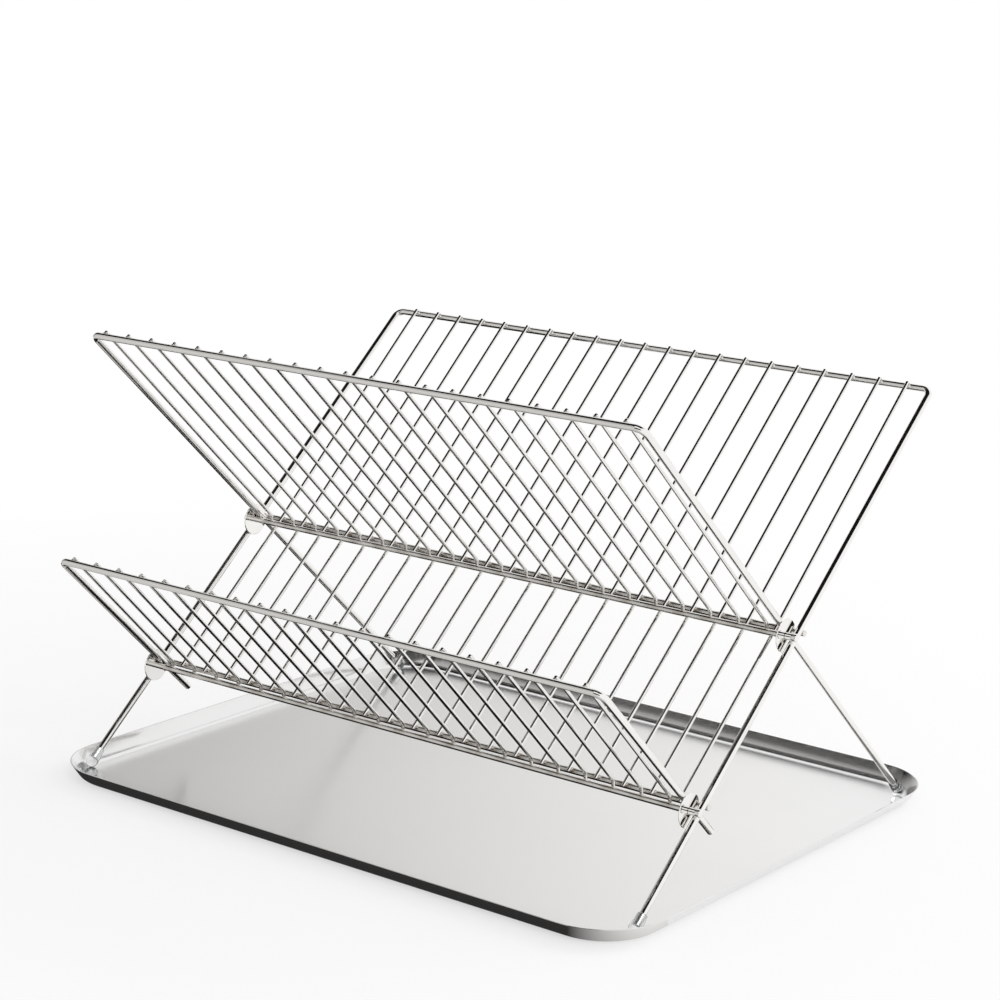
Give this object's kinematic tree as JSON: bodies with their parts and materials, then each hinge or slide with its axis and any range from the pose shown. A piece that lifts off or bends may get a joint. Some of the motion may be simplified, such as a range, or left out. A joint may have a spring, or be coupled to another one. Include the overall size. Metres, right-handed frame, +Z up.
{
  "type": "folding dish rack",
  "caption": "Free-standing X-shaped two-tier folding dish rack of polished steel rod and wire, with clear foot caps, standing in a shallow steel drip tray.",
  "frame": {"origin": "on the surface that the tray stands on, under the middle of the tray", "axes": "+X along the rack to the right, +Y to the back, +Z up; the racks open to the front, towards -Y"},
  "size_m": [0.476, 0.3751, 0.3025],
  "materials": {
    "polished_steel": "polished stainless steel",
    "tray_steel": "satin stainless steel",
    "clear_plastic": "clear soft plastic"
  },
  "bodies": {
    "tray": {"drip_tray": "tray_steel"},
    "main_frame": {"main_frame_rod": "polished_steel", "main_panel_wires": "polished_steel", "upper_ledge_rod": "polished_steel", "lower_ledge_rod": "polished_steel", "upper_pivot_sleeve_left": "polished_steel", "upper_pivot_sleeve_right": "polished_steel", "lower_pivot_sleeve_left": "polished_steel", "lower_pivot_sleeve_right": "polished_steel", "front_foot_cap_left": "clear_plastic", "front_foot_cap_right": "clear_plastic"},
    "upper_rack": {"upper_rack_rod": "polished_steel", "upper_rack_wires": "polished_steel", "upper_pivot_rod": "polished_steel", "upper_pivot_disc_left": "polished_steel", "upper_pivot_disc_right": "polished_steel", "upper_end_cap_left": "polished_steel", "upper_end_cap_right": "polished_steel", "rear_foot_cap_left": "clear_plastic", "rear_foot_cap_right": "clear_plastic"},
    "lower_rack": {"lower_rack_rod": "polished_steel", "lower_rack_wires": "polished_steel", "lower_pivot_rod": "polished_steel", "lower_pivot_disc_left": "polished_steel", "lower_pivot_disc_right": "polished_steel", "lower_end_cap_left": "polished_steel", "lower_end_cap_right": "polished_steel"}
  },
  "joints": [
    {"name": "lift_out", "type": "slide", "parent": "tray", "child": "main_frame", "axis": [0, 0, 1], "range_m": [0, 0.3]},
    {"name": "upper_fold", "type": "hinge", "parent": "main_frame", "child": "upper_rack", "pos_m": [0, 0.00248, 0.14693], "axis": [-1, 0, 0], "range_deg": [0, 90]},
    {"name": "lower_fold", "type": "hinge", "parent": "main_frame", "child": "lower_rack", "pos_m": [0, -0.09699, 0.06107], "axis": [-1, 0, 0], "range_deg": [0, 90]}
  ],
  "couplings": [
    {"joint": "upper_fold", "follows": "lift_out", "rad_per_m": 5.23},
    {"joint": "lower_fold", "follows": "lift_out", "rad_per_m": 5.23}
  ]
}
